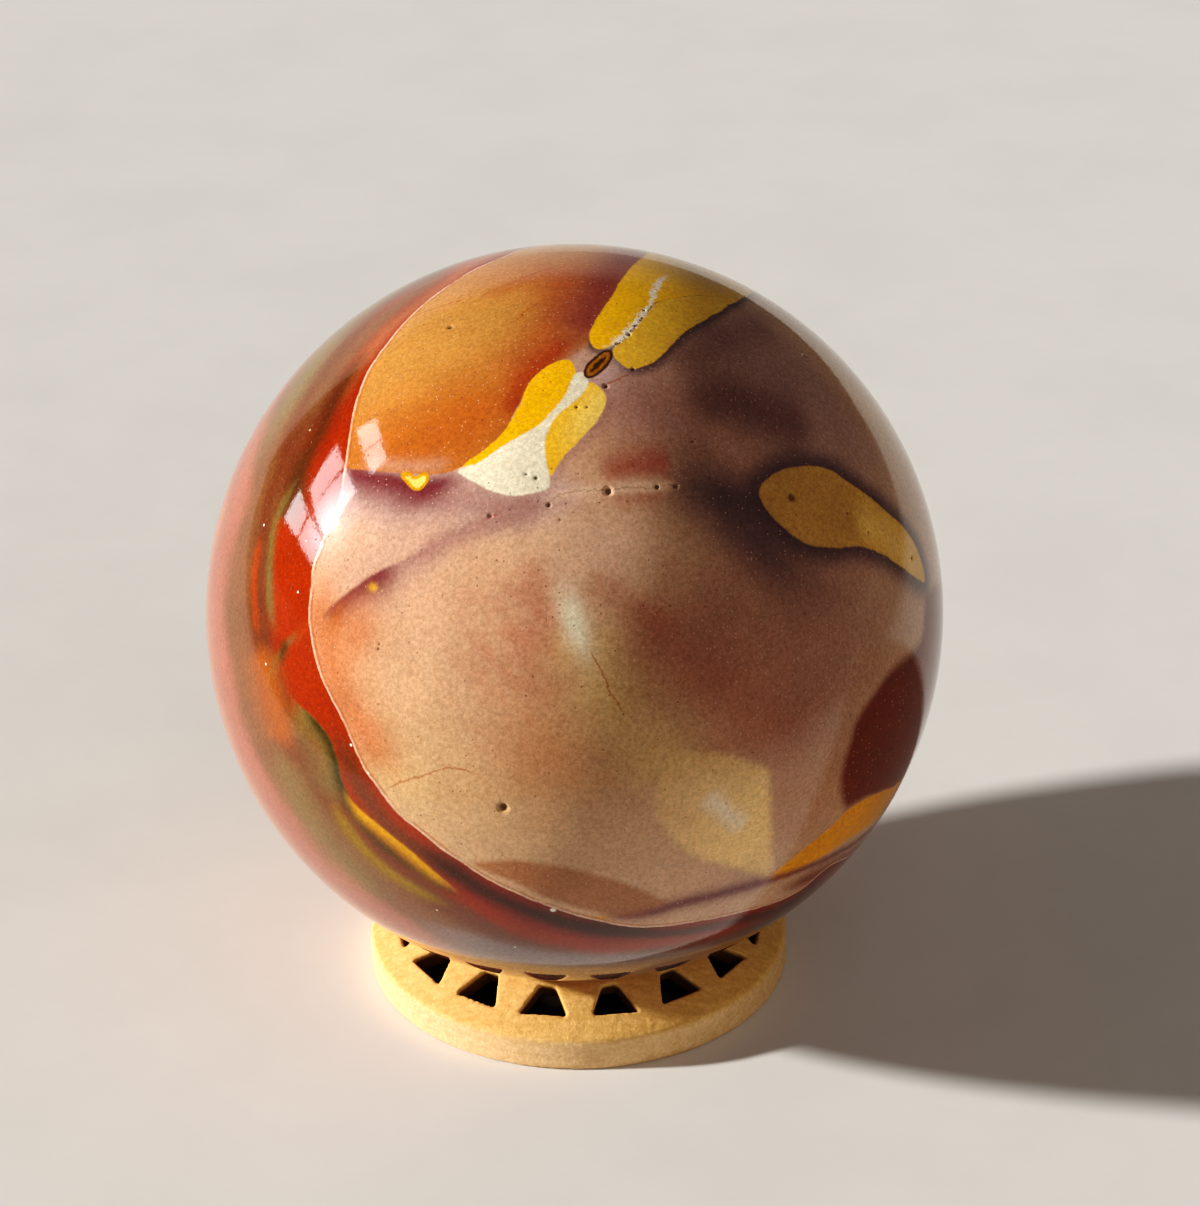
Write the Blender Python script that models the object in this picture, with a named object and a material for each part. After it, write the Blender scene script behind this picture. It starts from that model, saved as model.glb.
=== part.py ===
"""A polished stone sphere that rests on a turned, pierced wooden ring stand.

Units are metres and +Z is up. The Z axis is the axis of both pieces, and the origin
is the centre of the ring's flat underside.
"""

import math

import bmesh
import bpy
from mathutils import Matrix, Vector

# The stone sphere
SPHERE_DIAMETER = 0.0640
SPHERE_SEGMENTS = 72
SPHERE_RINGS = 36

# The ring stand: an upright band, a sloping pierced wall above it and a rim on top
FOOT_RADIUS = 0.0187
BAND_HEIGHT = 0.0030
RIM_RADIUS = 0.0134
RIM_HEIGHT = 0.0059
FOOT_WALL = 0.0026
SLOPE_WALL = 0.0020
SEAT_WIDTH = 0.0009
FOOT_ROUND = 0.0003
RIDGE_ROUND = 0.0009
RIM_ROUND = 0.00015
RING_SEGMENTS = 96
ROUND_STEPS = 4

# Clearance between the sphere and the rim that carries it
REST_GAP = 0.0003

# The triangular cut-outs in the sloping wall, their wide ends down
CUTOUT_COUNT = 16
CUTOUT_BAR = 0.0021
CUTOUT_TIP_WIDTH = 0.0013
RIDGE_MARGIN = 0.0026
RIM_MARGIN = 0.0005
CUTTER_OVERRUN = 0.0008

SMOOTH_ANGLE = math.radians(32)


def clear_scene():
    for obj in list(bpy.data.objects):
        bpy.data.objects.remove(obj)


def plain_material(name, color, roughness):
    material = bpy.data.materials.new(name)
    material.use_nodes = True
    shader = material.node_tree.nodes["Principled BSDF"]
    shader.inputs["Base Color"].default_value = (*color, 1.0)
    shader.inputs["Roughness"].default_value = roughness
    shader.inputs["Metallic"].default_value = 0.0
    return material


def object_of(name, mesh_builder, material):
    """A new object in the scene that holds the finished mesh_builder."""
    mesh = bpy.data.meshes.new(name)
    mesh_builder.to_mesh(mesh)
    mesh_builder.free()
    obj = bpy.data.objects.new(name, mesh)
    bpy.context.scene.collection.objects.link(obj)
    if material:
        mesh.materials.append(material)
    return obj


def slope_angle():
    """How steeply the pierced wall rises from the ridge to the rim."""
    return math.atan2(RIM_HEIGHT - BAND_HEIGHT, FOOT_RADIUS - RIM_RADIUS)


def slope_length():
    return math.hypot(RIM_HEIGHT - BAND_HEIGHT, FOOT_RADIUS - RIM_RADIUS)


def sphere_centre_height():
    """The sphere rests on the rim's circle, the gap away from it."""
    reach = SPHERE_DIAMETER / 2 + REST_GAP
    return RIM_HEIGHT + math.sqrt(reach**2 - RIM_RADIUS**2)


def under_sphere(radius):
    """Height of the surface that runs the gap below the sphere, at a distance from the axis."""
    reach = SPHERE_DIAMETER / 2 + REST_GAP
    return sphere_centre_height() - math.sqrt(reach**2 - radius**2)


def rounded_corner(before, corner, after, rounding):
    """The points of an arc of that radius in the corner, or the corner itself if it is sharp."""
    if rounding <= 0:
        return [corner]
    back = (before - corner).normalized()
    ahead = (after - corner).normalized()
    half = back.angle(ahead) / 2
    setback = rounding / math.tan(half)
    centre = corner + (back + ahead).normalized() * (rounding / math.sin(half))
    start = corner + back * setback - centre
    sweep = start.angle_signed(corner + ahead * setback - centre)
    points = []
    for step in range(ROUND_STEPS + 1):
        turn = Matrix.Rotation(-sweep * step / ROUND_STEPS, 2)
        points.append(centre + turn @ start)
    return points


def ring_profile():
    """The ring's section as (distance from the axis, height), from the foot outwards and up."""
    bore_radius = RIM_RADIUS - SEAT_WIDTH
    foot_inner_radius = FOOT_RADIUS - FOOT_WALL
    wall_drop = SLOPE_WALL / math.cos(slope_angle())

    def slope_underside(radius):
        return RIM_HEIGHT + (RIM_RADIUS - radius) * math.tan(slope_angle()) - wall_drop

    corners = [
        (FOOT_RADIUS, 0.0, FOOT_ROUND),
        (FOOT_RADIUS, BAND_HEIGHT, RIDGE_ROUND),
        (RIM_RADIUS, RIM_HEIGHT, RIM_ROUND),
        (bore_radius, under_sphere(bore_radius), 0.0),
        (bore_radius, slope_underside(bore_radius), 0.0),
        (foot_inner_radius, slope_underside(foot_inner_radius), 0.0),
        (foot_inner_radius, 0.0, 0.0),
    ]
    points = []
    for index, (radius, height, rounding) in enumerate(corners):
        before = Vector(corners[index - 1][:2])
        after = Vector(corners[(index + 1) % len(corners)][:2])
        points += rounded_corner(before, Vector((radius, height)), after, rounding)
    return points


def turned_ring(profile):
    """The closed profile carried once round the Z axis."""
    builder = bmesh.new()
    circles = []
    for segment in range(RING_SEGMENTS):
        angle = 2 * math.pi * segment / RING_SEGMENTS
        circles.append([
            builder.verts.new((radius * math.cos(angle), radius * math.sin(angle), height))
            for radius, height in profile
        ])
    for segment, circle in enumerate(circles):
        following = circles[(segment + 1) % RING_SEGMENTS]
        for index in range(len(profile)):
            after = (index + 1) % len(profile)
            builder.faces.new((circle[index], following[index], following[after], circle[after]))
    bmesh.ops.recalc_face_normals(builder, faces=builder.faces)
    return builder


def cutout_outline():
    """The cut-out's four corners as (across, up the slope from the ridge)."""
    wide_end = RIDGE_MARGIN
    blunt_end = slope_length() - RIM_MARGIN
    wide_radius = FOOT_RADIUS - wide_end * math.cos(slope_angle())
    pitch = 2 * math.pi * wide_radius / CUTOUT_COUNT
    half_wide = (pitch - CUTOUT_BAR) / 2
    half_tip = CUTOUT_TIP_WIDTH / 2
    return [(-half_wide, wide_end), (half_wide, wide_end), (half_tip, blunt_end), (-half_tip, blunt_end)]


def slope_point(across, up_slope, out):
    """A point given by its place on the sloping wall, before it is turned to its place in the ring."""
    angle = slope_angle()
    radius = FOOT_RADIUS - up_slope * math.cos(angle) + out * math.sin(angle)
    height = BAND_HEIGHT + up_slope * math.sin(angle) + out * math.cos(angle)
    return Vector((radius, across, height))


def add_cutter(builder, angle):
    """One prism square to the sloping wall, longer than the wall is thick."""
    turn = Matrix.Rotation(angle, 3, "Z")
    depths = (CUTTER_OVERRUN, -(SLOPE_WALL + CUTTER_OVERRUN))
    outer, inner = [
        [builder.verts.new(turn @ slope_point(across, up, depth)) for across, up in cutout_outline()]
        for depth in depths
    ]
    builder.faces.new(outer)
    builder.faces.new(list(reversed(inner)))
    for index in range(len(outer)):
        after = (index + 1) % len(outer)
        builder.faces.new((outer[after], outer[index], inner[index], inner[after]))


def cutout_cutters():
    """All the cut-outs' prisms, evenly spaced, with a bar of wood at the front."""
    builder = bmesh.new()
    for index in range(CUTOUT_COUNT):
        add_cutter(builder, 2 * math.pi * (index + 0.5) / CUTOUT_COUNT)
    bmesh.ops.recalc_face_normals(builder, faces=builder.faces)
    cutters = object_of("cutout_cutters", builder, None)
    cutters.hide_render = True
    cutters.display_type = "WIRE"
    return cutters


def build_ring_stand():
    wood = plain_material("pale_wood", (0.72, 0.47, 0.22), 0.55)
    ring = object_of("ring_stand", turned_ring(ring_profile()), wood)
    carve = ring.modifiers.new("cutouts", "BOOLEAN")
    carve.operation = "DIFFERENCE"
    carve.solver = "EXACT"
    carve.object = cutout_cutters()
    bpy.context.view_layer.update()
    graph = bpy.context.evaluated_depsgraph_get()
    carved = bpy.data.meshes.new_from_object(ring.evaluated_get(graph))
    ring.modifiers.remove(carve)
    ring.data = carved
    ring.data.shade_smooth()
    ring.data.set_sharp_from_angle(angle=SMOOTH_ANGLE)
    return ring


def build_stone_sphere():
    stone = plain_material("polished_jasper", (0.52, 0.28, 0.19), 0.06)
    builder = bmesh.new()
    bmesh.ops.create_uvsphere(
        builder,
        u_segments=SPHERE_SEGMENTS,
        v_segments=SPHERE_RINGS,
        radius=SPHERE_DIAMETER / 2,
    )
    sphere = object_of("stone_sphere", builder, stone)
    sphere.location = (0.0, 0.0, sphere_centre_height())
    sphere.data.shade_smooth()
    return sphere


clear_scene()
build_ring_stand()
build_stone_sphere()
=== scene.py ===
"""The looks of a polished jasper sphere on its turned and pierced wooden ring."""

import math
import random

import bmesh
import bpy
import numpy as np
from mathutils import Matrix, Vector, noise


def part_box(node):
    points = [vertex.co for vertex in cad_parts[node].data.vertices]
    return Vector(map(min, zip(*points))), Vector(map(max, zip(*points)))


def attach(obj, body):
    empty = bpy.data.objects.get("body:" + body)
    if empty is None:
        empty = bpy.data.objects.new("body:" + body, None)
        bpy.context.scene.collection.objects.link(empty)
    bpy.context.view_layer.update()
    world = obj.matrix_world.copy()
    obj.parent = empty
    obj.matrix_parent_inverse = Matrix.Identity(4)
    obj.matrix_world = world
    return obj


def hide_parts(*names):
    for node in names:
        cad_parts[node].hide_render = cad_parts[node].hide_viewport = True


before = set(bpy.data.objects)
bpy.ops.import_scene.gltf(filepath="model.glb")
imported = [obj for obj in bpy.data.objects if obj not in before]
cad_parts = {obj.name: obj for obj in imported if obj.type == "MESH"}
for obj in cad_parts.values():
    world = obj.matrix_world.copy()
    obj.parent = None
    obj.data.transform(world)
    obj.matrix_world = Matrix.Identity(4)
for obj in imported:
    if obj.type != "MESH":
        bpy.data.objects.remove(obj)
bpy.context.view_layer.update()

MM = 0.001

# Without a seed the noise that moves the zones' edges would differ from run to run
NOISE_SEED = 1
noise.seed_set(NOISE_SEED)

# The photograph's frame and where the sphere's outline lies in it, in pixels
PHOTO_WIDTH = 1200
PHOTO_HEIGHT = 1206
SPHERE_PIXEL_X = 574.6
SPHERE_PIXEL_Y = 612.5
SPHERE_PIXEL_RADIUS = 368.9

# The camera that sees the sphere so
CAMERA_ELEVATION = math.radians(29.3)
CAMERA_DISTANCE = 0.42
CAMERA_ROLL = math.radians(-0.74)
SENSOR_SIZE = 36.0

# The sphere and the ring, read from the frame
sphere_low, sphere_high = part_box("stone_sphere")
SPHERE_CENTRE = (sphere_low + sphere_high) / 2
SPHERE_RADIUS = (sphere_high.z - sphere_low.z) / 2
ring_low, ring_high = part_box("ring_stand")
RING_RADIUS = (ring_high.x - ring_low.x) / 2
RING_HEIGHT = ring_high.z - ring_low.z

# Axes of the camera, and pixels in one unit of slope
TO_CAMERA = Vector((0.0, -math.cos(CAMERA_ELEVATION), math.sin(CAMERA_ELEVATION)))
LEVEL_RIGHT = Vector((1.0, 0.0, 0.0))
LEVEL_UP = TO_CAMERA.cross(LEVEL_RIGHT)
CAMERA_RIGHT = LEVEL_RIGHT * math.cos(CAMERA_ROLL) + LEVEL_UP * math.sin(CAMERA_ROLL)
CAMERA_UP = LEVEL_UP * math.cos(CAMERA_ROLL) - LEVEL_RIGHT * math.sin(CAMERA_ROLL)
FOCAL_PIXELS = SPHERE_PIXEL_RADIUS / math.tan(math.asin(SPHERE_RADIUS / CAMERA_DISTANCE))


def sight_line(x, y):
    """The direction in which the camera sees a pixel of the photograph."""
    across = (x - SPHERE_PIXEL_X) / FOCAL_PIXELS
    rise = (SPHERE_PIXEL_Y - y) / FOCAL_PIXELS
    return (CAMERA_RIGHT * across + CAMERA_UP * rise - TO_CAMERA).normalized()


def spot(x, y):
    """The direction from the sphere's centre to the place on its surface that a pixel shows."""
    line = sight_line(x, y)
    start = TO_CAMERA * CAMERA_DISTANCE
    along = start.dot(line)
    reach = along**2 - (CAMERA_DISTANCE**2 - SPHERE_RADIUS**2)
    return (start + line * (-along - math.sqrt(max(reach, 0.0)))).normalized()


def past_rim(bearing, beyond):
    """A hidden direction: its bearing in degrees anticlockwise from the right, and degrees past the rim."""
    turn = math.radians(bearing)
    sideways = CAMERA_RIGHT * math.cos(turn) + CAMERA_UP * math.sin(turn)
    angle = math.radians(90 + beyond)
    return (sideways * math.sin(angle) + TO_CAMERA * math.cos(angle)).normalized()


def mirrored(x, y):
    """Where the polished sphere reflects to at a pixel."""
    line = sight_line(x, y)
    normal = spot(x, y)
    return line - 2 * line.dot(normal) * normal


def direction_of(place):
    return place if isinstance(place, Vector) else spot(*place)


# Outlines of the stone's crisp zones: pixels where they show, directions where they don't
INNER_ZONE = [
    (520, 250), (501, 258), (455, 281), (424, 304), (394, 335), (373, 363), (358, 396), (350, 431),
    (346, 465), (336, 508), (322, 542), (313, 569), (310, 600), (310, 624), (315, 654), (325, 685),
    (340, 716), (353, 744), (368, 774), (391, 805), (422, 833), (455, 858), (493, 881), (552, 907),
    (593, 920), (636, 927), (687, 923), (738, 913), (777, 902), (802, 889), (835, 863),
    past_rim(-36, 3), past_rim(-18, 9), past_rim(8, 13), past_rim(36, 12), past_rim(64, 8), past_rim(88, 3),
]
GOLDEN_ZONE = [
    (520, 250), (455, 281), (394, 335), (358, 396), (347, 450), (348, 468), (391, 473), (430, 475),
    (456, 470), (480, 455), (506, 430), (528, 388), (545, 368), (562, 360), (576, 360), (586, 350),
    (589, 338), (594, 324), (612, 296), (630, 268), (646, 254), past_rim(84, 5), past_rim(95, 8),
]
FINGER = [
    (646, 254), (630, 268), (612, 295), (594, 324), (589, 338), (597, 349), (611, 346), (624, 334),
    (636, 323), (652, 305), (675, 298), (698, 295), (722, 298), (736, 302),
    past_rim(60, 3), past_rim(64, 9), past_rim(80, 9),
]
SANDY_LOBE = [
    (612, 350), (616, 360), (631, 368), (656, 360), (683, 334), (710, 317), (735, 301), (722, 298),
    (698, 295), (675, 298), (654, 305), (638, 325), (622, 341),
]
LOWER_LOBE = [
    (562, 360), (545, 367), (528, 386), (518, 409), (506, 428), (485, 449), (460, 469), (476, 466),
    (500, 452), (520, 440), (540, 427), (556, 410), (569, 391), (576, 374), (572, 362),
]
CREAM_LENS = [
    (457, 471), (474, 482), (490, 490), (514, 496), (533, 493), (548, 488), (549, 476), (546, 456),
    (545, 440), (551, 424), (562, 411), (578, 397), (588, 384), (583, 373), (575, 374), (567, 391),
    (554, 409), (538, 425), (517, 437), (500, 447), (480, 462),
]
RIGHT_LOBE = [
    (589, 383), (600, 388), (606, 400), (597, 421), (576, 443), (562, 459), (550, 478), (547, 470),
    (544, 452), (545, 438), (551, 423), (562, 410), (579, 396),
]
LEAF = [
    (759, 488), (777, 472), (805, 466), (830, 470), (853, 485), (879, 505), (902, 526), (917, 549),
    (925, 582), (904, 569), (884, 554), (861, 546), (828, 548), (802, 541), (782, 526), (764, 505),
]
RUSSET_ZONE = [
    (930, 590), (921, 640), (890, 672), (860, 715), (849, 747), (841, 782), (846, 807), (870, 797),
    (905, 780), past_rim(-28, 8), past_rim(-10, 14), past_rim(4, 8),
]
OCHRE_STREAK = [
    (910, 778), (892, 787), (872, 796), (850, 808), (834, 824), (816, 839), (796, 856), (770, 877),
    (782, 878), (801, 869), (828, 853), (850, 838), (866, 828), (884, 812), (908, 790), past_rim(-33, 3),
]
CRESCENT = [
    (474, 864), (496, 861), (519, 861), (555, 866), (590, 873), (625, 884), (666, 903), (632, 917),
    (592, 911), (552, 899), (510, 880),
]
PATCH = [
    (668, 760), (690, 752), (735, 756), (762, 766), (770, 774), (771, 820), (771, 880), (757, 875),
    (725, 865), (697, 857), (668, 834), (655, 800),
]
RED_PATCH = [
    (276, 520), (296, 532), (316, 560), (326, 600), (312, 622), (296, 634), (284, 647), (279, 636),
    (276, 600), (274, 560),
]
RED_TONGUE = [
    (288, 652), (298, 640), (320, 630), (334, 670), (360, 740), (396, 800), (440, 842), (420, 862),
    (388, 832), (360, 806), (343, 784), (337, 758), (328, 736), (313, 720), (300, 704), (291, 680),
]
YELLOW_BLOB = [
    (401, 476), (408, 474), (416, 478), (424, 473), (428, 477), (424, 485), (417, 489), (409, 485),
]
SEED = [(585, 377), (585, 369), (592, 360), (603, 352), (611, 352), (610, 361), (602, 371), (592, 378)]
MAUVE_BAND = [
    (346, 467), (391, 473), (430, 475), (457, 471), (474, 482), (490, 490), (514, 496), (548, 488),
    (562, 492), (540, 508), (500, 512), (460, 510), (420, 506), (380, 508), (340, 500),
]

# Open lines on the stone
PALE_VEINS = [[
    (604, 350), (611, 345), (622, 336), (632, 326), (643, 313), (651, 303), (654, 293), (658, 284),
        (668, 274),
]]
CRACKS = [[(549, 504), (556, 496), (572, 492), (608, 490), (640, 487), (657, 486), (679, 485)]]
HAIRLINES = [
    [(385, 789), (404, 782), (422, 776), (451, 768), (482, 776)],
    [(480, 296), (511, 283), (530, 275), (556, 267)], [(516, 322), (524, 312), (538, 303)],
    [(486, 519), (492, 515), (498, 513)], [(410, 318), (436, 308), (462, 300)],
    [(588, 648), (596, 662), (605, 678), (612, 694), (626, 714)], [(606, 385), (620, 378), (630, 372)],
]
PURPLE_LINE = [
    (906, 796), (884, 818), (858, 840), (822, 861), (766, 881), (694, 900), (654, 911), (600, 918),
]

LENS_EDGE = [(290, 694), (301, 708), (314, 720), (328, 738), (336, 760), (342, 784), (356, 808)]
AMBER_EDGE = [(342, 786), (356, 806), (384, 830), (410, 852), (438, 876), (462, 894)]
MAUVE_EDGE = [(452, 538), (419, 553), (386, 570), (362, 584), (322, 618)]
WINE_RUN = [
    (326, 716), (346, 756), (366, 796), (400, 836), (440, 862), (490, 894), (550, 918), (610, 930),
    (680, 932),
]
LEFT_RIM = [past_rim(150, 0), *(past_rim(bearing, 1) for bearing in (168, 186, 204, 222)), past_rim(244, 0)]

# Pits as (place, half-width in mm, depth in mm), and white flecks as (place, half-width in mm): the flecks
# are painted glints where light catches small steps along the zone line and the stripes, with a few real
# white specks among them
PITS = [
    ((503, 808), 0.42, 0.26), ((608, 491), 0.32, 0.2), ((657, 487), 0.24, 0.16), ((675, 486), 0.22, 0.14),
    ((792, 497), 0.4, 0.16), ((450, 327), 0.28, 0.18), ((526, 474), 0.16, 0.1), ((536, 478), 0.22, 0.12),
    ((549, 505), 0.2, 0.12), ((629, 334), 0.2, 0.12), ((644, 310), 0.16, 0.1), ((577, 407), 0.14, 0.08),
    ((587, 407), 0.14, 0.08), ((805, 356), 0.26, 0.14), ((490, 516), 0.2, 0.1), ((912, 558), 0.22, 0.12),
    ((848, 513), 0.16, 0.1), ((869, 532), 0.16, 0.1), ((633, 369), 0.2, 0.12), ((606, 386), 0.2, 0.12),
    ((378, 649), 0.16, 0.1), ((379, 644), 0.14, 0.08), ((692, 441), 0.16, 0.1), ((560, 520), 0.14, 0.08),
]
GLINTS_AND_FLECKS = [
    ((553, 910), 0.3), ((515, 947), 0.14), ((437, 910), 0.12), ((264, 525), 0.14), ((298, 592), 0.13),
    ((306, 541), 0.1), ((351, 745), 0.16), ((368, 773), 0.16), ((266, 664), 0.14), ((310, 430), 0.12),
]

# The stone's colours, as 8-bit sRGB
COLOURS = dict(
    tan=(212, 171, 138), pale_tan=(224, 186, 160), warm_tan=(212, 172, 128), pink=(203, 163, 144),
    apricot=(196, 122, 82), clay=(194, 138, 100), salmon=(190, 122, 98), dusty=(164, 121, 102),
    lilac=(194, 164, 160), mauve=(166, 124, 116), deep_mauve=(118, 84, 80), dark_purple=(92, 70, 76),
    taupe=(164, 132, 126), gold=(194, 139, 74), orange=(184, 98, 38), red_orange=(174, 92, 50),
    maroon=(140, 70, 60), red=(148, 40, 0), vermilion=(158, 50, 0), brick=(112, 58, 32),
    brick_rose=(166, 90, 74), plum=(118, 54, 60), khaki=(212, 176, 126), ember=(160, 60, 20),
    honey=(214, 166, 62), bright_ochre=(240, 194, 112), rust=(176, 102, 84), russet=(118, 44, 4),
    brown=(170, 106, 62), bark=(128, 84, 52), dark_brown=(76, 46, 16), wine=(62, 24, 8),
    ash=(136, 118, 116), olive=(146, 112, 10), grey_green=(112, 96, 58), yellow=(243, 186, 0),
    amber=(210, 150, 0), sand=(236, 188, 66), straw=(246, 206, 138), pale_yellow=(249, 217, 118),
    cream=(236, 230, 206), ochre=(198, 152, 84), orange_ochre=(236, 156, 0), white=(246, 238, 220),
    seed=(168, 108, 22), rim_tan=(142, 110, 92), dark_olive=(62, 50, 12), dull_olive=(122, 104, 60),
    flame=(176, 66, 4),
)

# The window panes that the sphere mirrors, by the pixels that show their corners
WINDOW_PANES = [
    [(311, 490), (339, 445), (346, 467), (316, 508)],
    [(315, 509), (348, 469), (358, 493), (327, 540)],
    [(286, 519), (302, 490), (310, 514), (299, 538)],
    [(300, 540), (312, 515), (326, 544), (316, 567)],
    [(358, 431), (378, 420), (383, 440), (365, 453)],
    [(365, 455), (383, 441), (388, 460), (374, 476)],
]
GLARE_PIXEL = (334, 523)


def add_object(name, data):
    """A new object in the scene that holds a mesh, a light or a camera."""
    obj = bpy.data.objects.new(name, data)
    bpy.context.scene.collection.objects.link(obj)
    return obj


def linear(name):
    """A named colour as linear red, green and blue."""
    shares = np.array(COLOURS[name], float) / 255
    return np.where(shares <= 0.04045, shares / 12.92, ((shares + 0.055) / 1.055) ** 2.4)


# How finely the stone's mesh is made: reaches and steps in mm
SPHERE_SUBDIVISIONS = 7
LINE_REACH = 0.7
PIT_REACHES = (1.0, 0.6)
EDGE_REACHES = (0.8, 0.5)
CURVE_STEP = 0.2
POINTS_AT_ONCE = 4000

# The unevenness of the zones' edges, as (waves in a mm, mm)
WARPS = ((0.35, 0.14), (1.1, 0.05))


def curve_through(places, closed):
    """Unit vectors along a smooth curve on the sphere through the places, about CURVE_STEP mm apart."""
    marks = [direction_of(place) for place in places]
    count = len(marks)
    spans = count if closed else count - 1
    points = []
    for index in range(spans):
        if closed:
            a, b, c, d = (marks[(index + shift) % count] for shift in (-1, 0, 1, 2))
        else:
            a, b, c, d = (marks[min(max(index + shift, 0), count - 1)] for shift in (-1, 0, 1, 2))
        steps = max(2, int((c - b).length * SPHERE_RADIUS / MM / CURVE_STEP))
        for step in range(steps):
            t = step / steps
            point = (
                b * 2 + (c - a) * t + (a * 2 - b * 5 + c * 4 - d) * t**2 + (b * 3 - a - c * 3 + d) * t**3
            ) / 2
            points.append(point.normalized())
    if not closed:
        points.append(marks[-1])
    return np.array(points)


def flat_map(centre, points):
    """The points on a map of the sphere about centre, true in bearing and in distance from it."""
    side = np.cross(centre, (0.3, 0.2, 0.9))
    side /= np.linalg.norm(side)
    other = np.cross(centre, side)
    angle = np.arccos(np.clip(points @ centre, -1, 1))
    spread = angle / np.maximum(np.sin(angle), 1e-6)
    return np.stack([(points @ side) * spread, (points @ other) * spread], axis=1)


def nearest_on(curve, closed, points):
    """For each point: its distance in mm from the curve, its side, and how far along it is, from 0 to 1."""
    ends = np.roll(curve, -1, axis=0) if closed else curve[1:]
    starts = curve if closed else curve[:-1]
    runs = ends - starts
    lengths = np.maximum((runs**2).sum(1), 1e-12)
    distance = np.empty(len(points))
    side = np.empty(len(points))
    along = np.empty(len(points))
    for first in range(0, len(points), POINTS_AT_ONCE):
        block = slice(first, first + POINTS_AT_ONCE)
        part = points[block]
        near = np.argmax(part @ ((starts + ends) / 2).T, axis=1)
        best = np.full(len(part), np.inf)
        for shift in (-1, 0, 1):
            index = (near + shift) % len(starts) if closed else np.clip(near + shift, 0, len(starts) - 1)
            share = ((part - starts[index]) * runs[index]).sum(1) / lengths[index]
            foot = starts[index] + runs[index] * np.clip(share, 0, 1)[:, None]
            gap = np.linalg.norm(part - foot, axis=1)
            better = gap < best
            best = np.where(better, gap, best)
            turn = (np.cross(starts[index], runs[index]) * (part - foot)).sum(1)
            side[block] = np.where(better, np.sign(turn), side[block])
            place = (index + np.clip(share, 0, 1)) / len(starts)
            along[block] = np.where(better, place, along[block])
        distance[block] = best * SPHERE_RADIUS / MM
    return distance, side, along


def inside_outline(curve, points):
    """Whether each point lies inside the closed curve."""
    centre = curve.mean(0)
    centre /= np.linalg.norm(centre)
    outline = flat_map(centre, curve)
    places = flat_map(centre, points)
    inside = np.zeros(len(points), bool)
    for (ax, ay), (bx, by) in zip(outline, np.roll(outline, -1, axis=0)):
        crosses = (ay > places[:, 1]) != (by > places[:, 1])
        if ay != by:
            at = ax + (places[:, 1] - ay) * (bx - ax) / (by - ay)
            inside ^= crosses & (places[:, 0] < at)
    return inside


class Stone:
    """The sphere's points, and the fields over them that its paint and its material use."""

    def __init__(self, points):
        self.points = points
        self.depths = {}
        self.warped = sum(self.warp(points, per_mm, amount) for per_mm, amount in WARPS) - points
        self.warped /= np.linalg.norm(self.warped, axis=1)[:, None]

    def warp(self, points, per_mm, amount):
        """The points moved by smooth noise of that many waves a mm, by about amount mm."""
        scale = SPHERE_RADIUS / MM
        moved = [
            Vector(p) + noise.noise_vector(Vector(p) * scale * per_mm) * (amount / scale) for p in points
        ]
        return np.array(moved)

    def wander(self, waves, seed, octaves=3):
        """Smooth noise from about -1 to 1, with that many waves across the sphere's radius."""
        offset = Vector((seed * 7.1, seed * 3.3, seed * 5.7))
        values = [noise.fractal(Vector(p) * waves + offset, 1.0, 2.0, octaves) for p in self.points]
        return np.array(values)

    def depth(self, places):
        """Distance in mm into the closed outline, and negative outside it."""
        curve = curve_through(places, True)
        distance, _, _ = nearest_on(curve, True, self.warped)
        return np.where(inside_outline(curve, self.warped), distance, -distance)

    def line(self, places):
        """Signed distance in mm from the open line, and its presence, which fades at both ends."""
        distance, side, along = nearest_on(curve_through(places, False), False, self.warped)
        presence = np.clip(np.minimum(along, 1 - along) * 8, 0, 1)
        return distance * side, presence

    def lines(self, several):
        """As line, for whichever of several lines is the nearest."""
        pairs = [self.line(places) for places in several]
        distances = np.array([pair[0] for pair in pairs])
        presences = np.array([pair[1] for pair in pairs])
        nearest = np.abs(distances).argmin(0)[None]
        return np.take_along_axis(distances, nearest, 0)[0], np.take_along_axis(presences, nearest, 0)[0]

    def apart(self, place):
        """Distance in mm from one place."""
        centre = np.array(direction_of(place))
        return np.linalg.norm(self.points - centre, axis=1) * SPHERE_RADIUS / MM

    def streaks(self, start, end):
        """Smooth noise from about -1 to 1, drawn out along the way from one place to another."""
        ahead = np.array(direction_of(end) - direction_of(start))
        ahead /= np.linalg.norm(ahead)
        run = (self.points @ ahead)[:, None] * ahead
        squeezed = (self.points - run) * 26 + run * 6
        return np.array([noise.fractal(Vector(p), 0.8, 2.0, 4) for p in squeezed])

    def blotch(self, place, along, across, heading=0.0):
        """A soft oval, along and across mm in size, its long way turned heading degrees from the right."""
        centre = np.array(direction_of(place))
        turn = math.radians(heading)
        ahead = np.array(CAMERA_RIGHT * math.cos(turn) + CAMERA_UP * math.sin(turn))
        ahead -= centre * (ahead @ centre)
        ahead /= np.linalg.norm(ahead)
        aside = np.cross(centre, ahead)
        scale = SPHERE_RADIUS / MM
        u = (self.warped @ ahead) * scale / along
        v = (self.warped @ aside) * scale / across
        return np.exp(-(u**2 + v**2)) * (self.points @ centre > 0)

    def stroke(self, places, left, right=None):
        """A soft band with tapered ends, left mm wide on the line's left and right mm on its right."""
        curve = curve_through(places, False)
        distance, side, along = nearest_on(curve, False, self.warped)
        taper = ramp(np.minimum(along, 1 - along), 0.0, 0.22)
        width = np.where(side > 0, left, left if right is None else right) * (0.4 + 0.6 * taper)
        return np.exp(-((distance / width) ** 2)) * taper


def ramp(value, low, high):
    """From 0 at low to 1 at high, eased at both ends."""
    t = np.clip((value - low) / (high - low), 0, 1)
    return t * t * (3 - 2 * t)


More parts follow.
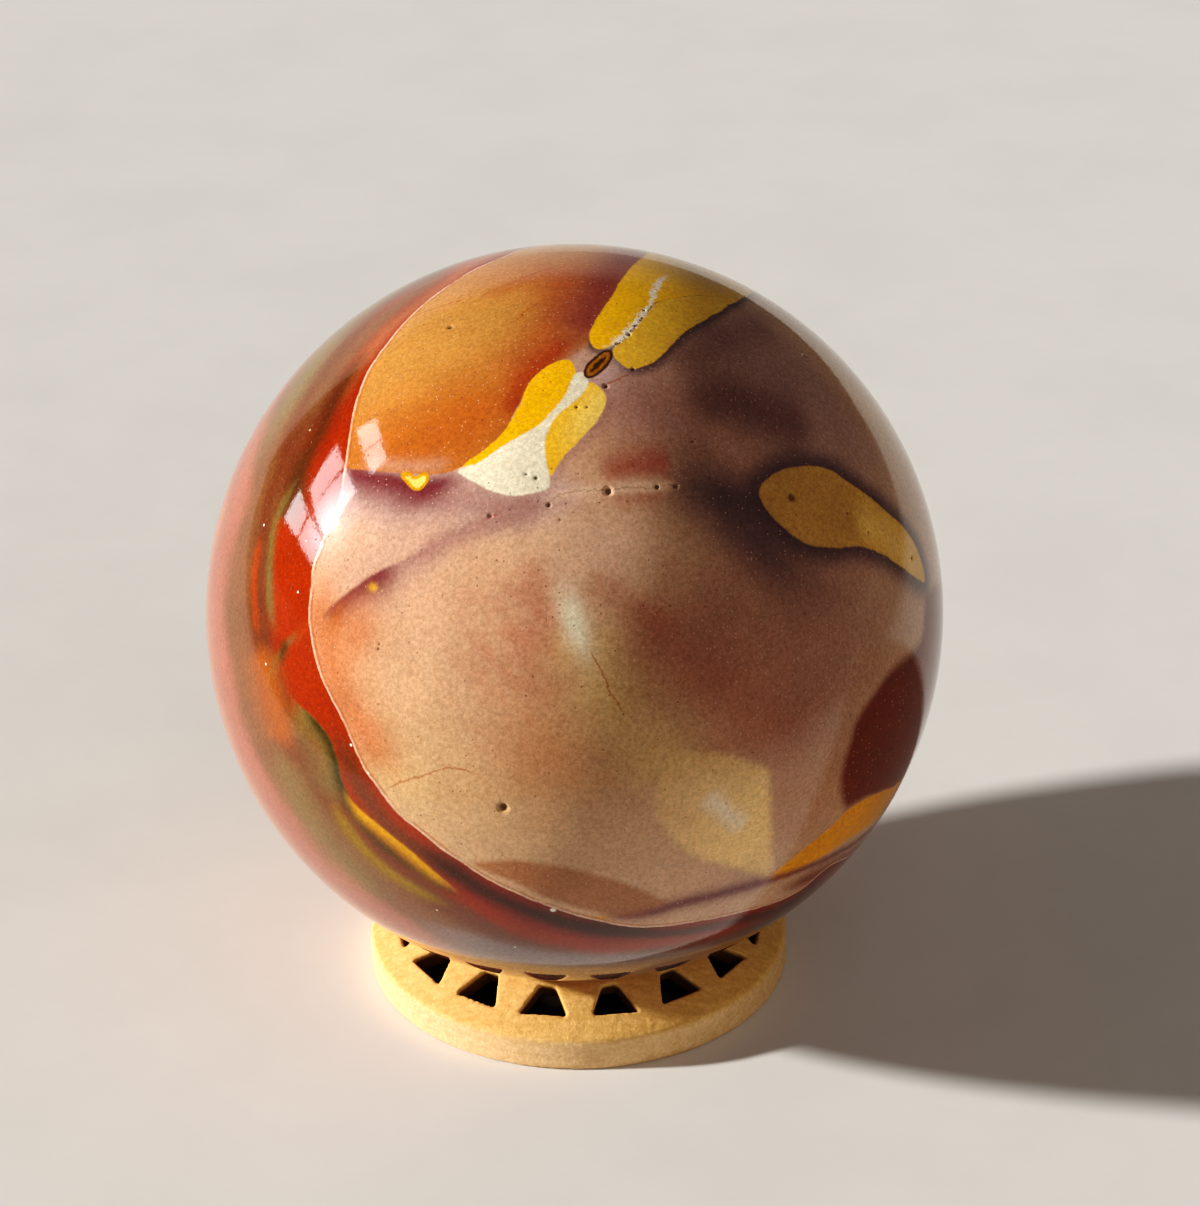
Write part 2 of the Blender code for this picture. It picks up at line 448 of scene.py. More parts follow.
class Paint:
    """Colours laid over each other, one for each point of the stone."""

    def __init__(self, stone, name):
        self.stone = stone
        self.rgb = np.tile(linear(name), (len(stone.points), 1))

    def lay(self, name, weight):
        weight = np.clip(weight, 0, 1)[:, None]
        self.rgb = self.rgb * (1 - weight) + linear(name) * weight

    def marks(self, rows, share=1.0):
        """Lays soft shapes in order, from rows of a colour, a strength, where it lies and its sizes in mm.

        A zone's name makes its edge a ramp, a list of places makes a stroke and one place a blotch.
        """
        for name, strength, where, *sizes in rows:
            if isinstance(where, str):
                shape = ramp(self.stone.depths[where], *sizes)
            elif isinstance(where, list):
                shape = self.stone.stroke(where, *sizes)
            else:
                shape = self.stone.blotch(where, *sizes)
            self.lay(name, strength * share * shape)


def paint_inside(stone):
    """The ground inside the great zone line: tan at the left, mauve and taupe at the right."""
    paint = Paint(stone, "tan")
    broad = stone.wander(2.2, 1)
    fine = stone.wander(6.0, 2)
    paint.lay("clay", 0.25 * ramp(broad, 0.0, 0.6))
    paint.marks([
        ("warm_tan", 0.9, (450, 800), 13, 7, -20),
        # the right half
        ("dusty", 0.95, (810, 650), 17, 11, -75),
        ("dusty", 0.6, (720, 620), 6, 9, -60),
        ("brick_rose", 0.42, [(616, 600), (690, 665), (740, 705), (812, 765)], 4.2),
        ("taupe", 1.0, (770, 370), 17, 12, -45),
        ("warm_tan", 0.95, (858, 392), 10, 3.4, -60),
        ("mauve", 0.85, (640, 405), 6, 4.5, -30),
        ("deep_mauve", 0.85, [(690, 420), (720, 400), (760, 410), (820, 440)], 3.2),
        ("deep_mauve", 0.5, [(665, 372), (700, 350), (740, 332), (780, 330)], 2.2),
        ("dark_purple", 0.97, (728, 500), 5.5, 2.9, -12),
        ("dark_purple", 0.8, (760, 545), 5.5, 2.6, -30),
        ("clay", 0.6, (805, 800), 6, 5, 0),
        ("brick_rose", 0.85, [(600, 480), (630, 466), (676, 462)], 1.5),
        ("brick_rose", 0.75, [(610, 498), (640, 497), (665, 497)], 0.9),
        ("pale_tan", 0.75, [(556, 494), (608, 488), (676, 484)], 0.7),
        ("pale_tan", 0.8, (610, 545), 6.0, 4.0, 0),
        # the pink and apricot left side
        ("pink", 0.85, (385, 555), 9, 4.0, 30),
        ("apricot", 0.95, [(326, 560), (321, 612), (328, 655), (344, 700), (372, 745), (408, 792)], 2.4),
    ])
    # clouds of salmon, in thin slanting streaks
    slanting = 0.45 + 0.55 * ramp(stone.streaks((500, 560), (650, 700)), -0.35, 0.35)
    paint.marks([
        ("brick_rose", 0.4, [(585, 568), (612, 590), (645, 612), (680, 640)], 1.6),
        ("salmon", 0.65, [(536, 545), (532, 600), (545, 655), (556, 712)], 2.4),
        ("salmon", 0.55, (500, 650), 6, 4, -60),
    ], slanting)
    paint.lay("clay", 0.85 * stone.blotch((545, 752), 5, 4.5, -70))
    # the cream spot, the yellowish glow that runs from it, and the yellow patch
    glow = stone.stroke([(566, 600), (580, 645), (600, 690), (640, 735), (690, 785)], 3.2)
    paint.lay("khaki", 0.85 * glow * (0.5 + 0.5 * ramp(fine, -0.6, 0.3)))
    within_patch = ramp(stone.depths["patch"], -0.35, 0.45)
    paint.lay("straw", 0.95 * within_patch * (0.35 + 0.65 * stone.blotch((752, 836), 9, 7, -70)))
    paint.marks([
        ("white", 0.6, [(704, 792), (721, 809), (744, 830)], 0.9),
        ("cream", 0.95, (575, 622), 2.8, 1.0, -72),
        # halos round the yellow zones
        ("dark_purple", 0.92, "leaf", -2.4, -0.1),
        ("dark_purple", 0.92, "sandy", -1.1, -0.1),
        ("dark_purple", 0.92, "finger", -1.0, -0.1),
        ("mauve", 0.7, "right_lobe", -1.2, 0.0),
        ("lilac", 0.9, (600, 372), 2.2, 1.6, 40),
        # the mauve band under the golden field, fading downwards
        ("lilac", 0.8, "mauve_band", -3.0, 0.8),
        ("plum", 1.0, [(330, 468), (368, 476), (391, 481), (420, 487), (450, 482), (476, 480)], 0.9, 2.1),
        ("plum", 0.6, (418, 496), 2.2, 0.9, 10),
        ("mauve", 0.8, [(430, 500), (470, 500), (510, 506), (556, 500)], 1.3),
        ("mauve", 0.8, [(552, 506), (520, 511), (484, 525), (440, 542), (404, 560)], 1.1, 0.9),
        ("mauve", 0.85, MAUVE_EDGE, 1.7, 0.2),
        ("plum", 0.95, [(400, 562), (380, 573), (358, 587), (322, 618)], 1.7, 0.2),
        ("apricot", 0.85, (356, 634), 3.0, 2.2, 60),
        ("orange", 0.6, (336, 620), 1.4, 0.8, 60),
        ("yellow", 0.7, (373, 587), 0.4, 0.3, 0),
        ("khaki", 0.6, (400, 788), 3.2, 2.0, -30),
        # the bottom of the inner zone
        ("plum", 0.75, [(790, 868), (766, 880), (694, 900), (640, 914), (590, 916)], 1.1),
        ("russet", 0.95, [(930, 760), (905, 802), (872, 838), (836, 864), (770, 892)], 1.3, 1.6),
        ("amber", 0.8, (600, 918), 1.0, 0.35, 0),
    ])
    return paint


def paint_golden(stone):
    """The golden field: tan in its middle, orange below and maroon towards the yellow finger."""
    paint = Paint(stone, "gold")
    paint.marks([
        ("red_orange", 0.6, (560, 268), 9, 4.5, -5),
        ("orange", 0.85, (400, 450), 9, 4.4, -10),
        ("orange", 0.95, (470, 418), 7, 5, 30),
        ("red_orange", 0.85, [(505, 400), (528, 360), (555, 320), (572, 262)], 2.8),
        ("ember", 0.8, [(508, 425), (524, 384), (556, 352), (580, 335)], 1.3),
        ("maroon", 1.0, [(566, 366), (584, 330), (598, 295), (622, 262), (650, 236)], 2.6),
        ("pink", 0.45, [(356, 462), (391, 466), (430, 466), (458, 460)], 0.7),
        ("red_orange", 0.4, [(480, 300), (520, 282), (560, 268)], 1.0),
        ("lilac", 0.9, (586, 356), 1.5, 0.8, 40),
    ])
    return paint


def paint_yellows(stone):
    """The yellow zones: vivid by the veins, pale at the right of the lower lobe, ochre in the leaf."""
    paint = Paint(stone, "yellow")
    paint.marks([
        ("honey", 0.9, (712, 282), 6, 3.6, -30),
        ("pale_yellow", 0.95, (598, 412), 4.5, 2.2, 60),
        ("ochre", 1.2, (805, 508), 13, 8, 0),
        ("bright_ochre", 0.9, [(850, 515), (885, 535), (920, 575)], 1.8),
        ("ochre", 0.5, [(760, 490), (790, 475), (830, 478), (860, 498)], 0.8),
    ])
    return paint


def paint_outside(stone):
    """The ground outside the great zone line: bands that follow it, from vivid red to brown and tan."""
    away = -stone.depths["inner"] + 2.2 * stone.wander(2.4, 5)
    paint = Paint(stone, "red")
    bands = [
        (1.6, 3.2, "vermilion", 0.6), (3.6, 5.4, "brick", 0.95), (7.0, 9.5, "bark", 0.8),
        (12.0, 15.0, "rust", 0.7), (17.0, 21.0, "apricot", 0.7),
        (24.0, 27.0, "mauve", 0.8), (30.0, 34.0, "clay", 0.8), (38.0, 41.0, "orange", 0.6),
        (44.0, 47.0, "warm_tan", 0.8), (50.0, 54.0, "russet", 0.8),
    ]
    for low, high, name, weight in bands:
        paint.lay(name, weight * ramp(away, low, high))
    paint.marks([
        # greyish tan along the left rim: a painted reflection of the pale wall
        ("rim_tan", 0.8, LEFT_RIM, 5.0),
        # the upper left, where dark stripes follow the line
        ("dull_olive", 0.8, [(570, 240), (440, 266), (352, 322), (296, 392), (250, 480)], 2.4),
        ("red_orange", 0.9, [(520, 246), (440, 288), (392, 326), (356, 374), (340, 420)], 0.9, 1.1),
        ("bark", 0.9, [(470, 262), (400, 304), (352, 352), (318, 400), (284, 460)], 1.6),
        ("vermilion", 0.85, [(356, 392), (344, 420), (339, 450), (334, 484)], 0.8),
        ("dark_brown", 0.85, [(372, 346), (336, 398), (318, 436), (298, 480), (282, 530)], 1.2, 1.5),
        ("brick", 0.9, [(322, 396), (296, 440), (272, 490), (260, 545), (256, 620)], 1.1),
        # the left: vermilion, then a dull olive stripe, then a red one
        ("vermilion", 0.95, "red_patch", -0.5, 0.25),
        ("dull_olive", 0.85, [(300, 474), (276, 520), (270, 560), (270, 600), (276, 640)], 0.55, 0.45),
        ("flame", 0.8, [(262, 530), (255, 566), (254, 600), (258, 640)], 0.45),
        # the grey-green streak across the red, with a dark blot in it
        ("flame", 0.8, [(316, 616), (302, 632), (288, 646), (276, 660)], 0.55, 0.4),
        ("grey_green", 0.9, [(303, 632), (288, 646), (276, 662), (264, 684)], 0.3, 0.35),
        ("dark_olive", 0.85, [(288, 640), (283, 652), (281, 664)], 0.5),
        # orange ground at the left, tan and then mauve further down
        ("orange", 0.65, [(262, 640), (268, 680), (278, 716), (290, 752)], 2.0, 2.6),
        ("dull_olive", 0.6, [(276, 740), (300, 800), (344, 862), (400, 905)], 2.6),
        # the red tongue that narrows into dark wine under the zone line
        ("vermilion", 1.0, "red_tongue", -0.25, 0.2),
        ("brick", 0.97, WINE_RUN[:6], 1.1, 1.3),
        ("wine", 0.97, WINE_RUN[3:], 1.2, 1.2),
        ("wine", 0.9, [(520, 912), (600, 930), (680, 932), (750, 918), (830, 880)], 0.9, 1.0),
        # the grey lens with its dark right edge, and the olive and amber bands that grow out of it
        ("dull_olive", 0.95, LENS_EDGE, 0.2, 3.2),
        ("dark_olive", 0.9, LENS_EDGE[1:], 0.2, 0.9),
        ("dark_olive", 0.85, [(333, 774), (350, 808), (384, 846), (420, 872), (470, 902)], 0.7, 0.6),
        ("olive", 0.95, [(330, 792), (345, 824), (378, 862), (414, 888), (456, 908)], 0.6, 0.9),
        ("amber", 1.0, AMBER_EDGE, 0.2, 0.9),
        # a painted reflection of the pale floor, as grey along the bottom, and dark wine at its right
        ("ash", 0.9, [(400, 912), (470, 938), (540, 954), (620, 958), (700, 950), (760, 930)], 1.1, 8.0),
        ("wine", 0.95, (790, 906), 7.5, 3.4, 25),
        ("wine", 0.8, (870, 852), 5.0, 2.6, 45),
    ])
    return paint


def refine_near(builder, directions, reach):
    """Splits the faces that lie within reach mm of any of the directions."""
    marks = np.array(directions)
    centres = np.array([face.calc_center_median().normalized() for face in builder.faces])
    nearest = (centres @ marks.T).max(1)
    limit = math.cos(reach * MM / SPHERE_RADIUS)
    faces = [face for face, closeness in zip(builder.faces, nearest) if closeness > limit]
    edges = {edge for face in faces for edge in face.edges}
    bmesh.ops.subdivide_edges(builder, edges=list(edges), cuts=1)
    rest = [face for face in builder.faces if len(face.verts) > 3]
    bmesh.ops.triangulate(builder, faces=rest)


def stone_builder():
    """A sphere of even triangles, finer along the thin lines and round the pits."""
    builder = bmesh.new()
    bmesh.ops.create_icosphere(builder, subdivisions=SPHERE_SUBDIVISIONS, radius=1.0)
    thin = [curve_through(line, False) for line in PALE_VEINS + CRACKS + HAIRLINES + [PURPLE_LINE]]
    thin += [curve_through(line, True) for line in (SEED, YELLOW_BLOB, LOWER_LOBE, RIGHT_LOBE, SANDY_LOBE)]
    refine_near(builder, np.concatenate(thin), LINE_REACH)
    crisp = np.concatenate([curve_through(line, False) for line in (LENS_EDGE, AMBER_EDGE, MAUVE_EDGE)])
    for reach in EDGE_REACHES:
        refine_near(builder, crisp, reach)
    small = np.array([direction_of(mark[0]) for mark in PITS + GLINTS_AND_FLECKS])
    for reach in PIT_REACHES:
        refine_near(builder, small, reach)
    return builder


def sink_pits(stone):
    """The points' distances from the centre, with the pits pressed in."""
    heights = np.full(len(stone.points), SPHERE_RADIUS)
    for index, (place, half_width, depth) in enumerate(PITS):
        stretch = 1.0 + 0.25 * math.sin(index * 2.4)
        share = stone.apart(place) / (half_width * stretch)
        heights -= depth * MM * np.exp(-share**4)
    return heights


def add_number(mesh, name, values):
    attribute = mesh.attributes.new(name, "FLOAT", "POINT")
    attribute.data.foreach_set("value", np.asarray(values, np.float32))


def add_colour(mesh, name, rgb):
    attribute = mesh.attributes.new(name, "FLOAT_COLOR", "POINT")
    rgba = np.concatenate([rgb, np.ones((len(rgb), 1))], axis=1)
    attribute.data.foreach_set("color", rgba.astype(np.float32).ravel())


def build_stone():
    builder = stone_builder()
    mesh = bpy.data.meshes.new("polished_stone")
    builder.to_mesh(mesh)
    builder.free()
    points = np.empty(len(mesh.vertices) * 3)
    mesh.vertices.foreach_get("co", points)
    points = points.reshape(-1, 3)
    points /= np.linalg.norm(points, axis=1)[:, None]
    stone = Stone(points)
    outlines = {
        "golden": GOLDEN_ZONE, "finger": FINGER, "sandy": SANDY_LOBE, "lower_lobe": LOWER_LOBE,
        "cream": CREAM_LENS, "right_lobe": RIGHT_LOBE, "leaf": LEAF, "russet": RUSSET_ZONE,
        "streak": OCHRE_STREAK, "crescent": CRESCENT, "blob": YELLOW_BLOB, "seed": SEED,
        "mauve_band": MAUVE_BAND, "patch": PATCH, "red_patch": RED_PATCH, "red_tongue": RED_TONGUE,
        "inner": INNER_ZONE,
    }
    stone.depths = {name: stone.depth(places) for name, places in outlines.items()}
    for name, values in stone.depths.items():
        add_number(mesh, name, values)
    line_sets = {"vein": PALE_VEINS, "crack": CRACKS, "hair": HAIRLINES, "dark_line": [PURPLE_LINE]}
    for name, several in line_sets.items():
        distance, presence = stone.lines(several)
        add_number(mesh, name, distance)
        add_number(mesh, name + "_presence", presence)
    add_number(mesh, "glint_and_fleck", np.min([stone.apart(place) / size for place, size in GLINTS_AND_FLECKS], axis=0))
    add_number(mesh, "pit", np.min([stone.apart(place) / size for place, size, _ in PITS], axis=0))
    add_colour(mesh, "inner_paint", paint_inside(stone).rgb)
    add_colour(mesh, "golden_paint", paint_golden(stone).rgb)
    add_colour(mesh, "yellow_paint", paint_yellows(stone).rgb)
    add_colour(mesh, "outer_paint", paint_outside(stone).rgb)
    placed = points * sink_pits(stone)[:, None] + np.array(SPHERE_CENTRE)
    mesh.vertices.foreach_set("co", placed.astype(np.float32).ravel())
    mesh.shade_smooth()
    mesh.update()
    obj = add_object("polished_stone", mesh)
    mesh.materials.append(stone_material())
    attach(obj, "root")
    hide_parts("stone_sphere")


class Shading:
    """Short calls that build one material's nodes."""

    def __init__(self, name):
        self.material = bpy.data.materials.new(name)
        self.material.use_nodes = True
        self.tree = self.material.node_tree
        self.surface = self.tree.nodes["Principled BSDF"]

    def feed(self, socket, value):
        if isinstance(value, bpy.types.NodeSocket):
            self.tree.links.new(value, socket)
        else:
            socket.default_value = value

    def node(self, kind, inputs=(), **settings):
        made = self.tree.nodes.new("ShaderNode" + kind)
        for key, value in settings.items():
            setattr(made, key, value)
        for key, value in dict(inputs).items():
            self.feed(made.inputs[key], value)
        return made

    def math(self, operation, a, b=0.0):
        return self.node("Math", {0: a, 1: b}, operation=operation).outputs[0]

    def plus(self, a, b):
        return self.math("ADD", a, b)

    def times(self, a, b):
        return self.math("MULTIPLY", a, b)

    def flip(self, share):
        """1 where the share is 0, and 0 where it is 1."""
        return self.math("SUBTRACT", 1.0, share)

    def vector(self, operation, a, b, output="Vector"):
        return self.node("VectorMath", {0: a, 1: b}, operation=operation).outputs[output]

    def mix(self, factor, a, b, blend="MIX"):
        made = self.node("Mix", {0: factor, 6: a, 7: b}, data_type="RGBA", blend_type=blend)
        return made.outputs[2]

    def tint(self, colour, name, share):
        """The colour with that share of a named one over it."""
        return self.mix(share, colour, self.shade(name))

    def number(self, name):
        return self.node("Attribute", attribute_name=name).outputs["Fac"]

    def colour(self, name):
        return self.node("Attribute", attribute_name=name).outputs["Color"]

    def place_in_mm(self):
        return self.vector("MULTIPLY", self.node("TexCoord").outputs["Object"], (1 / MM, 1 / MM, 1 / MM))

    def noise(self, place, per_mm, detail=2.0, roughness=0.5):
        inputs = {"Vector": place, "Scale": per_mm, "Detail": detail, "Roughness": roughness}
        return self.node("TexNoise", inputs).outputs["Fac"]

    def ease(self, value, low, high):
        inputs = {"Value": value, "From Min": low, "From Max": high}
        made = self.node("MapRange", inputs, interpolation_type="SMOOTHSTEP")
        return made.outputs["Result"]

    def shade(self, name):
        return (*linear(name), 1.0)


# The stone's polish, its tones and the depth of its specks in mm
STONE_IOR = 1.54
POLISH = 0.03
POLISH_SPREAD = 0.04
PIT_ROUGHNESS = 0.5
CLOUD_TONES = (0.72, 0.7, 0.7, 1), (1.22, 1.2, 1.18, 1)
MOTTLE_TONES = (0.62, 0.56, 0.5, 1), (1.35, 1.38, 1.4, 1)
BLUSH = (1.0, 0.72, 0.55, 1)
SPECK_DEPTH = 0.1


def stone_material():
    s = Shading("polished_jasper")
    place = s.place_in_mm()
    ragged = s.math("SUBTRACT", s.noise(place, 1.6, 3.0, 0.6), 0.5)
    feathered = s.math("SUBTRACT", s.noise(place, 5.0, 2.0, 0.6), 0.5)

    def inside(name, soft=0.06, rough=0.2, fine=0.12, shift=0.0):
        """1 inside a zone and 0 outside, its edge made uneven by noise."""
        uneven = s.plus(s.times(ragged, rough), s.times(feathered, fine))
        return s.ease(s.plus(s.number(name), uneven), shift - soft, shift + soft)

    def along(name, half_width, soft, rough=0.15, fine=0.1):
        """1 on a thin line and 0 off it."""
        wobble = s.plus(s.times(ragged, rough), s.times(feathered, fine))
        distance = s.math("ABSOLUTE", s.plus(s.number(name), wobble))
        on_line = s.flip(s.ease(distance, half_width - soft, half_width + soft))
        return s.times(on_line, s.number(name + "_presence"))

    colour = s.mix(inside("golden", 0.12), s.colour("inner_paint"), s.colour("golden_paint"))
    yellows = s.colour("yellow_paint")
    layers = [
        ("crescent", s.shade("brown"), 0.4, 0.85), ("russet", s.shade("russet"), 0.65, 0.97),
        ("streak", s.shade("orange_ochre"), 0.14, 1.0), ("leaf", yellows, 0.12, 1.0),
        ("sandy", s.shade("sand"), 0.1, 1.0), ("finger", yellows, 0.1, 1.0),
        ("right_lobe", yellows, 0.1, 1.0), ("lower_lobe", s.shade("yellow"), 0.08, 1.0),
        ("cream", s.shade("cream"), 0.12, 1.0),
    ]
    for name, tint, soft, strength in layers:
        colour = s.mix(s.times(inside(name, soft), strength), colour, tint)
    colour = s.tint(colour, "amber", inside("blob", 0.08, 0.2, 0.1, -0.12))
    colour = s.tint(colour, "pale_yellow", inside("blob", 0.12, 0.2, 0.1, 0.16))
    colour = s.tint(colour, "white", along("vein", 0.24, 0.12, 1.1, 1.3))
    colour = s.tint(colour, "pale_tan", s.times(along("crack", 0.42, 0.3, 0.5), 0.7))
    colour = s.tint(colour, "grey_green", s.times(along("crack", 0.05, 0.05, 0.8, 0.5), 0.5))
    colour = s.tint(colour, "ember", s.times(along("hair", 0.07, 0.06, 0.5, 0.3), 0.55))
    colour = s.tint(colour, "plum", s.times(along("dark_line", 0.4, 0.6, 0.5, 0.3), 0.95))
    colour = s.tint(colour, "dark_brown", inside("seed", 0.07, 0.12, 0.06, -0.08))
    colour = s.tint(colour, "seed", inside("seed", 0.1, 0.12, 0.06, 0.16))
    colour = s.tint(colour, "dark_brown", inside("seed", 0.1, 0.4, 0.2, 0.44))
    inner = inside("inner", 0.05, 0.1, 0.05)
    colour = s.mix(inner, s.colour("outer_paint"), colour)
    # the thin pale line round the great zone, a painted highlight where light catches the zone's edge, with
    # a darker one inside it
    wobbly = s.plus(s.number("inner"), s.times(ragged, 0.14))
    broken = s.ease(s.noise(place, 0.35, 2.0), 0.34, 0.5)
    pale_edge_highlight = s.flip(s.ease(s.math("ABSOLUTE", wobbly), 0.04, 0.15))
    dark_line = s.flip(s.ease(s.math("ABSOLUTE", s.math("SUBTRACT", wobbly, 0.28)), 0.03, 0.18))
    colour = s.tint(colour, "red_orange", s.times(s.times(dark_line, broken), 0.6))
    colour = s.tint(colour, "pale_tan", s.times(s.times(pale_edge_highlight, broken), 0.85))
    # grain: broad cloudiness, fine mottling, pale specks, and dark specks that are painted shade in tiny
    # pits
    cloud = s.ease(s.noise(place, 0.22, 4.0, 0.6), 0.3, 0.7)
    colour = s.mix(0.25, colour, s.mix(cloud, *CLOUD_TONES), "MULTIPLY")
    blush = s.ease(s.noise(place, 0.9, 5.0, 0.7), 0.42, 0.72)
    colour = s.mix(s.times(s.times(blush, inner), 0.22), colour, BLUSH, "MULTIPLY")
    mottle = s.ease(s.noise(place, 2.8, 5.0, 0.85), 0.3, 0.7)
    colour = s.mix(0.62, colour, s.mix(mottle, *MOTTLE_TONES), "MULTIPLY")
    pale_dots = specks(s, place, 2.9, 0.7, 0.24)
    pale_share = s.plus(0.1, s.times(inner, 0.45))
    colour = s.tint(colour, "pale_tan", s.times(pale_dots, pale_share))
    # dark specks, sunk by the bump: painted shade in tiny pits
    dark_dots = specks(s, place, 1.8, 0.82, 0.17)
    colour = s.tint(colour, "dark_brown", s.times(dark_dots, 0.6))
    # painted shade: the pits are darkened in their hollows, and made rougher
    pits = s.flip(s.ease(s.number("pit"), 0.5, 1.1))
    colour = s.tint(colour, "dark_brown", s.times(pits, 0.75))
    # white flecks: painted glints where light catches small steps, and a few real white specks
    colour = s.tint(colour, "white", s.flip(s.ease(s.number("glint_and_fleck"), 0.6, 1.1)))
    s.feed(s.surface.inputs["Base Color"], colour)
    # polish, with a little unevenness
    worn = s.ease(s.noise(place, 1.2, 3.0), 0.2, 0.8)
    polish = s.plus(POLISH, s.times(worn, POLISH_SPREAD))
    s.feed(s.surface.inputs["Roughness"], s.plus(polish, s.times(pits, PIT_ROUGHNESS)))
    s.surface.inputs["IOR"].default_value = STONE_IOR
    sunk = s.plus(s.times(dark_dots, -1.0), s.times(s.noise(place, 3.0, 2.0), 0.1))
    bump = s.node("Bump", {"Strength": 0.35, "Distance": SPECK_DEPTH * MM, "Height": sunk})
    s.feed(s.surface.inputs["Normal"], bump.outputs[0])
    return s.material


def specks(s, place, per_mm, rarity, size):
    """Round dots in some cells of an uneven grid: 1 in a dot and 0 between them."""
    cells = s.node("TexVoronoi", {"Vector": place, "Scale": per_mm})
    chance = s.node("SeparateColor", {0: cells.outputs["Color"]}).outputs[0]
    dot = s.flip(s.ease(cells.outputs["Distance"], size * 0.5, size))
    return s.times(s.math("GREATER_THAN", chance, rarity), dot)


# The wood's tones and the painted shade of its cut-outs, and its grain, cut-outs and fuzz in mm
PALE_WOOD = (0.74, 0.49, 0.25, 1), (0.84, 0.59, 0.33, 1)
GOLDEN_WOOD = (0.74, 0.45, 0.15, 1), (0.86, 0.56, 0.22, 1)
CUT_WALL_SHADE = (0.16, 0.07, 0.02, 1)
FUZZ_TONES = (0.72, 0.66, 0.56, 1), (1.16, 1.16, 1.16, 1)
GRAIN_STRETCH = (0.3, 2.2, 2.2)
CUT_WALLS_FROM = 0.8
WOOD_SPECULAR = 0.25
FUZZ_DEPTH = 0.14


def wood_material():
    """Bare pale wood: golden on the slope and paler on the band, with fine fuzz and straight grain, and
    painted shade deep in its cut-outs.
    """
    s = Shading("pale_turned_wood")
    place = s.place_in_mm()
    stretched = s.vector("MULTIPLY", place, GRAIN_STRETCH)
    grain = s.ease(s.noise(stretched, 0.8, 5.0, 0.65), 0.3, 0.7)
    height = s.node("SeparateXYZ", {0: place}).outputs["Z"]
    on_slope = s.ease(height, RING_BAND - 0.5, RING_BAND + 0.2)
    colour = s.mix(on_slope, s.mix(grain, *PALE_WOOD), s.mix(grain, *GOLDEN_WOOD))
    # painted shade: the walls of the cut-outs are darker, the more so the deeper they lie under the slope
    flat = s.vector("MULTIPLY", place, (1, 1, 0))
    radius = s.vector("LENGTH", flat, (0, 0, 0), "Value")
    sideways = s.times(s.math("SUBTRACT", radius, OUTER_RADIUS), math.sin(SLOPE_ANGLE))
    upwards = s.times(s.math("SUBTRACT", height, RING_BAND), math.cos(SLOPE_ANGLE))
    depth = s.times(s.plus(sideways, upwards), -1.0)
    sunk = s.times(s.ease(depth, 0.15, 0.7), s.math("LESS_THAN", radius, OUTER_RADIUS - CUT_WALLS_FROM))
    colour = s.mix(sunk, colour, CUT_WALL_SHADE)
    fuzz = s.noise(place, 3.2, 5.0, 0.75)
    tone = s.mix(s.ease(fuzz, 0.32, 0.68), *FUZZ_TONES)
    colour = s.mix(0.5, colour, tone, "MULTIPLY")
    s.feed(s.surface.inputs["Base Color"], colour)
    s.feed(s.surface.inputs["Roughness"], s.ease(fuzz, -1.0, 1.6))
    s.surface.inputs["Specular IOR Level"].default_value = WOOD_SPECULAR
    bump = s.node("Bump", {"Strength": 0.6, "Distance": FUZZ_DEPTH * MM, "Height": fuzz})
    s.feed(s.surface.inputs["Normal"], bump.outputs[0])
    return s.material


# The ring's section and its cut-outs, in mm; its width and height come from the frame
RING_BAND = 3.0
RIM_RADIUS = 13.4
FOOT_WALL = 2.6
SLOPE_WALL = 2.0
SEAT_WIDTH = 0.9
REST_GAP = 0.3
FOOT_ROUND = 0.3
RIDGE_ROUND = 0.55
RIM_ROUND = 0.2
RING_SEGMENTS = 240
ROUND_STEPS = 5
CUTOUT_COUNT = 16
CUTOUT_BAR = 2.1
CUTOUT_TIP_WIDTH = 1.3
RIDGE_MARGIN = 2.6
RIM_MARGIN = 0.5
CUTOUT_ROUND = 0.08
CUTTER_OVERRUN = 0.8
CUT_UNEVENNESS = 0.14
WOOD_VOXEL = 0.18
WOOD_RELIEF = 0.025
OUTER_RADIUS = RING_RADIUS / MM
TOP_HEIGHT = RING_HEIGHT / MM
SLOPE_RUN = OUTER_RADIUS - RIM_RADIUS
SLOPE_RISE = TOP_HEIGHT - RING_BAND
SLOPE_ANGLE = math.atan2(SLOPE_RISE, SLOPE_RUN)


def rounded_corner(before, corner, after, rounding):
    """The points of an arc of that radius in the corner, or the corner itself if it is sharp."""
    if rounding <= 0:
        return [corner]
    back = (before - corner).normalized()
    ahead = (after - corner).normalized()
    half = back.angle(ahead) / 2
    centre = corner + (back + ahead).normalized() * (rounding / math.sin(half))
    start = corner + back * (rounding / math.tan(half)) - centre
    sweep = start.angle_signed(corner + ahead * (rounding / math.tan(half)) - centre)
    turns = [-sweep * step / ROUND_STEPS for step in range(ROUND_STEPS + 1)]
    return [centre + Matrix.Rotation(turn, 2) @ start for turn in turns]


def rounded_outline(corners):
    """A closed outline from (x, y, rounding) corners."""
    points = []
    for index, (x, y, rounding) in enumerate(corners):
        before = Vector(corners[index - 1][:2])
        after = Vector(corners[(index + 1) % len(corners)][:2])
        points += rounded_corner(before, Vector((x, y)), after, rounding)
    return points


